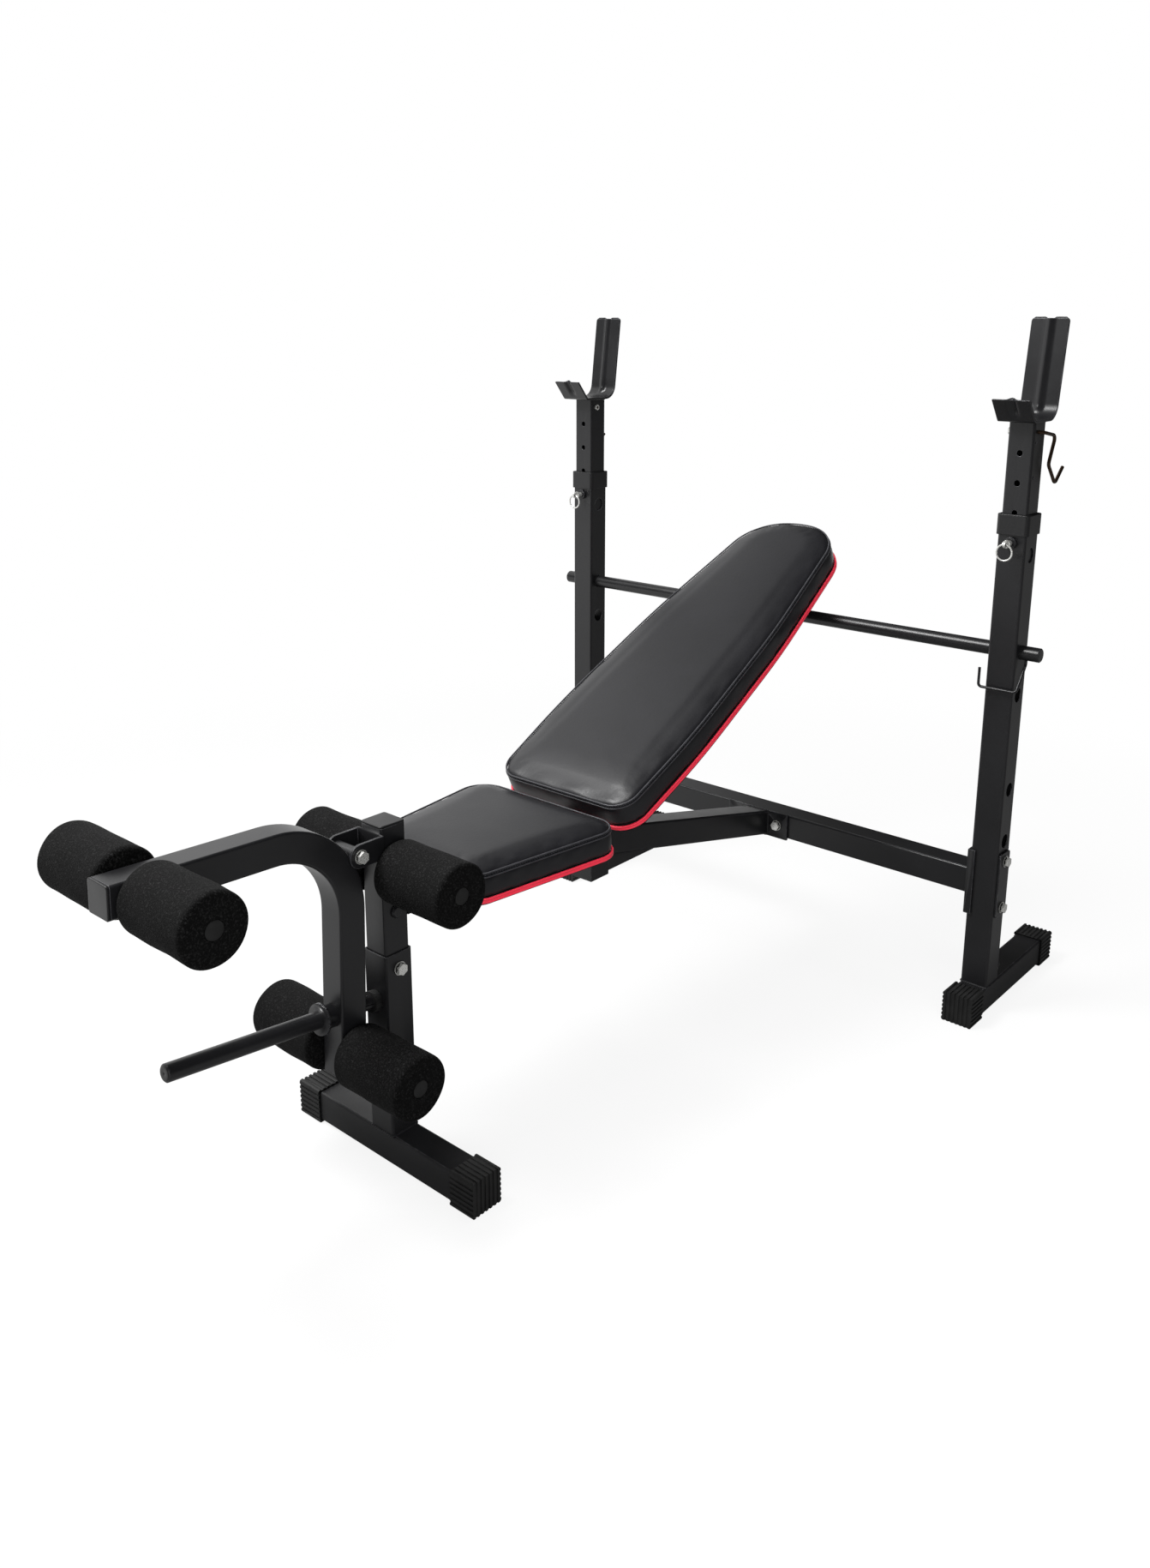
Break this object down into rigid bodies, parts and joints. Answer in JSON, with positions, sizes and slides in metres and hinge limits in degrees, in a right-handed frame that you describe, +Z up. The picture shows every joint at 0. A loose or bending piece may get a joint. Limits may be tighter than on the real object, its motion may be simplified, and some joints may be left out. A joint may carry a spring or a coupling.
{
  "type": "adjustable weight bench",
  "caption": "Weight bench with a hinged padded backrest, tapered seat, telescoping bar uprights with cradles, and a leg developer with foam rollers and a plate post.",
  "frame": {"origin": "middle of the bounding box on the floor", "axes": "+Z up, +Y from the leg developer to the uprights, +X to the right"},
  "size_m": [1.078, 1.727, 1.2482],
  "materials": {
    "black_powder_coat": "satin black powder coat",
    "black_rubber": "matte moulded rubber",
    "black_plastic": "fine moulded grain",
    "zinc_plate": "bright zinc plate",
    "dark_wire": "dark oiled wire",
    "pad_vinyl": "soft grained vinyl with red piping",
    "board_wood": "plain plywood under a black backing",
    "roller_foam": "closed-cell foam skin"
  },
  "bodies": {
    "frame": {"upright_right": "black_powder_coat", "upright_left": "black_powder_coat", "foot_caps": "black_rubber", "collars": "black_plastic", "pin_bosses": "black_powder_coat", "crossbeam": "black_powder_coat", "backing_plates": "black_powder_coat", "spine": "black_powder_coat", "front_base": "black_powder_coat", "receiver_post": "black_powder_coat", "receiver_cap": "black_plastic", "set_screw": "black_powder_coat", "button_bolt": "black_powder_coat", "knee_bar": "black_powder_coat", "knee_bar_plugs": "black_plastic", "seat_cushion": "pad_vinyl", "seat_board": "board_wood", "seat_screws": "zinc_plate", "bolts": "zinc_plate", "washers": "zinc_plate", "nuts": "zinc_plate"},
    "lever": {"lever": "black_powder_coat", "lever_plugs": "black_plastic", "upper_bar": "black_powder_coat", "lower_bar": "black_powder_coat", "lever_bar_plugs": "black_plastic", "plate_post": "black_powder_coat", "bumper": "black_rubber"},
    "knee_foam_right": {"knee_roller_right": "roller_foam"},
    "knee_foam_left": {"knee_roller_left": "roller_foam"},
    "upper_foam_right": {"upper_roller_right": "roller_foam"},
    "upper_foam_left": {"upper_roller_left": "roller_foam"},
    "lower_foam_right": {"lower_roller_right": "roller_foam"},
    "lower_foam_left": {"lower_roller_left": "roller_foam"},
    "backrest": {"back_cushion": "pad_vinyl", "back_board": "board_wood", "back_frame": "black_powder_coat", "back_screws": "zinc_plate"},
    "support": {"support_bar": "black_powder_coat"},
    "clip": {"bar_clip": "dark_wire"},
    "post_right": {"inner_post_right": "black_powder_coat"},
    "post_left": {"inner_post_left": "black_powder_coat"},
    "hook_body_right": {"hook_right": "dark_wire", "hook_nut_right": "zinc_plate"},
    "hook_body_left": {"hook_left": "dark_wire", "hook_nut_left": "zinc_plate"},
    "pull_pin_right": {"pin_right": "zinc_plate"},
    "pull_pin_left": {"pin_left": "zinc_plate"},
    "pull_ring_right": {"ring_right": "zinc_plate"},
    "pull_ring_left": {"ring_left": "zinc_plate"}
  },
  "joints": [
    {"name": "lever_swing", "type": "hinge", "parent": "frame", "child": "lever", "pos_m": [0, -0.49053, 0.5225], "axis": [-1, 0, 0], "range_deg": [0, 90]},
    {"name": "knee_foam_right_spin", "type": "hinge", "parent": "frame", "child": "knee_foam_right", "pos_m": [0.096, -0.42553, 0.481], "axis": [1, 0, 0], "continuous": true},
    {"name": "upper_foam_right_spin", "type": "hinge", "parent": "lever", "child": "upper_foam_right", "pos_m": [0.096, -0.80984, 0.57469], "axis": [1, 0, 0], "continuous": true},
    {"name": "lower_foam_right_spin", "type": "hinge", "parent": "lever", "child": "lower_foam_right", "pos_m": [0.096, -0.51154, 0.22498], "axis": [1, 0, 0], "continuous": true},
    {"name": "knee_foam_left_spin", "type": "hinge", "parent": "frame", "child": "knee_foam_left", "pos_m": [-0.096, -0.42553, 0.481], "axis": [1, 0, 0], "continuous": true},
    {"name": "upper_foam_left_spin", "type": "hinge", "parent": "lever", "child": "upper_foam_left", "pos_m": [-0.096, -0.80984, 0.57469], "axis": [1, 0, 0], "continuous": true},
    {"name": "lower_foam_left_spin", "type": "hinge", "parent": "lever", "child": "lower_foam_left", "pos_m": [-0.096, -0.51154, 0.22498], "axis": [1, 0, 0], "continuous": true},
    {"name": "backrest_hinge", "type": "hinge", "parent": "frame", "child": "backrest", "pos_m": [0, 0.01044, 0.43646], "axis": [1, 0, 0], "range_deg": [0, 20]},
    {"name": "support_slide", "type": "slide", "parent": "frame", "child": "support", "axis": [1, 0, 0], "range_m": [-0.005, 0.005]},
    {"name": "clip_pull", "type": "slide", "parent": "support", "child": "clip", "axis": [0, 0, -1], "range_m": [0, 0.045]},
    {"name": "post_right_lift", "type": "slide", "parent": "frame", "child": "post_right", "axis": [0, 0, 1], "range_m": [-0.05, 0.1]},
    {"name": "hook_right_swing", "type": "hinge", "parent": "post_right", "child": "hook_body_right", "pos_m": [0.48, 0.58047, 1.065], "axis": [1, 0, 0], "range_deg": [-90, 15]},
    {"name": "pull_pin_right_slide", "type": "slide", "parent": "frame", "child": "pull_pin_right", "axis": [0, 1, 0], "range_m": [-0.006, 0.008]},
    {"name": "pull_ring_right_swing", "type": "hinge", "parent": "pull_pin_right", "child": "pull_ring_right", "pos_m": [0.48, 0.53697, 0.88], "axis": [1, 0, 0], "range_deg": [-75, 8]},
    {"name": "post_left_lift", "type": "slide", "parent": "frame", "child": "post_left", "axis": [0, 0, 1], "range_m": [-0.05, 0.1]},
    {"name": "hook_left_swing", "type": "hinge", "parent": "post_left", "child": "hook_body_left", "pos_m": [-0.48, 0.58047, 1.065], "axis": [1, 0, 0], "range_deg": [-90, 15]},
    {"name": "pull_pin_left_slide", "type": "slide", "parent": "frame", "child": "pull_pin_left", "axis": [0, 1, 0], "range_m": [-0.006, 0.008]},
    {"name": "pull_ring_left_swing", "type": "hinge", "parent": "pull_pin_left", "child": "pull_ring_left", "pos_m": [-0.48, 0.53697, 0.88], "axis": [1, 0, 0], "range_deg": [-75, 8]}
  ]
}
